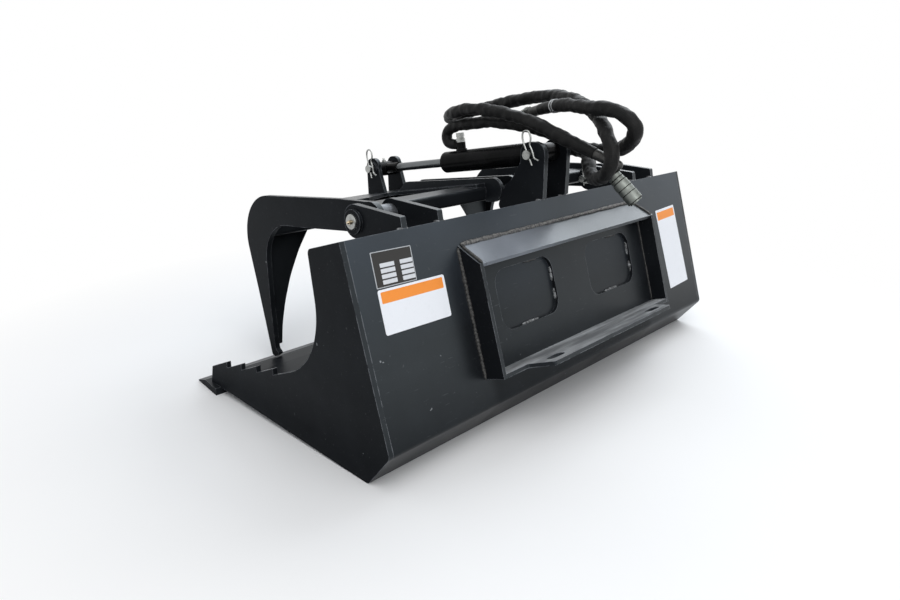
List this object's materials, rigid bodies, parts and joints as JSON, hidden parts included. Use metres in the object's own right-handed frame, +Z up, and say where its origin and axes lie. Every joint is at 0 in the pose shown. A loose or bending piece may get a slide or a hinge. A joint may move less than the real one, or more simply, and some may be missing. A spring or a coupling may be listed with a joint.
{
  "type": "grapple bucket",
  "caption": "Narrow black loader bucket with a saw-toothed mouth, a hydraulic grapple with curved fingers over it, and a quick-attach frame on its sloping back.",
  "frame": {"origin": "on the ground under the middle of the plan of everything but the hoses", "axes": "+X towards the driver's left, +Y out of the mount side, +Z up"},
  "size_m": [1.143, 0.7827, 0.6216],
  "materials": {
    "black_paint": "satin black enamel over plate, thin and worn at edges and welds",
    "cylinder_paint": "semi-gloss black enamel on turned steel",
    "zinc_plate": "bright zinc plate",
    "chrome_rod": "hard chrome, ground and polished",
    "brass": "plain brass, slightly dulled",
    "hose_sleeve": "loose woven nylon sleeve over rubber hose",
    "coupler_steel": "matt grey plated steel"
  },
  "bodies": {
    "bucket": {"bucket_shell": "black_paint", "side_plate_left": "black_paint", "side_plate_right": "black_paint", "cutting_edge": "black_paint", "mount_panel": "black_paint", "mount_hook": "black_paint", "mount_side_left": "black_paint", "mount_side_right": "black_paint", "mount_ledge": "black_paint", "pivot_ear_outer_left": "black_paint", "pivot_ear_outer_right": "black_paint", "pivot_ear_inner_left": "black_paint", "pivot_ear_inner_right": "black_paint", "pivot_boss_left": "black_paint", "pivot_boss_right": "black_paint", "pivot_pin_left": "zinc_plate", "pivot_pin_right": "zinc_plate", "pivot_nipples": "brass", "pivot_clips": "zinc_plate", "base_bracket_left": "black_paint", "base_bracket_right": "black_paint", "base_pin": "zinc_plate", "base_pin_clip": "zinc_plate"},
    "grapple": {"tine_left": "black_paint", "tine_right": "black_paint", "tine_web_left": "black_paint", "tine_web_right": "black_paint", "pivot_tube_left": "black_paint", "pivot_tube_right": "black_paint", "front_tube": "black_paint", "cross_tube": "black_paint", "top_plate": "black_paint", "centre_rib_left": "black_paint", "centre_rib_right": "black_paint", "clevis_ear_left": "black_paint", "clevis_ear_right": "black_paint", "rod_pin": "zinc_plate", "rod_pin_clip": "zinc_plate"},
    "barrel": {"cylinder_barrel": "cylinder_paint", "cylinder_gland": "cylinder_paint", "base_lug": "cylinder_paint", "rod_port": "cylinder_paint", "base_port": "cylinder_paint", "rod_elbow": "cylinder_paint", "rod_plug": "zinc_plate", "base_elbow": "cylinder_paint", "rod_hose": "hose_sleeve", "base_hose": "hose_sleeve", "rod_hose_crimp": "coupler_steel", "base_hose_crimp": "coupler_steel", "coupler_elbow": "coupler_steel", "coupler": "coupler_steel", "male_tip": "coupler_steel"},
    "rod": {"piston_rod": "chrome_rod", "piston": "chrome_rod", "rod_eye": "cylinder_paint", "rod_eye_nipple": "brass"}
  },
  "joints": [
    {"name": "grapple_hinge", "type": "hinge", "parent": "bucket", "child": "grapple", "pos_m": [0, 0.06978, 0.40299], "axis": [-1, 0, 0], "range_deg": [0, 50]},
    {"name": "barrel_swing", "type": "hinge", "parent": "bucket", "child": "barrel", "pos_m": [0, 0.16578, 0.49799], "axis": [-1, 0, 0], "range_deg": [0, 42.4]},
    {"name": "rod_slide", "type": "slide", "parent": "barrel", "child": "rod", "axis": [0, 0.9883, 0.1525], "range_m": [0, 0.0975]}
  ],
  "couplings": [
    {"joint": "barrel_swing", "follows": "grapple_hinge", "ratio": 0.8446},
    {"joint": "rod_slide", "follows": "grapple_hinge", "m_per_rad": 0.1111}
  ]
}
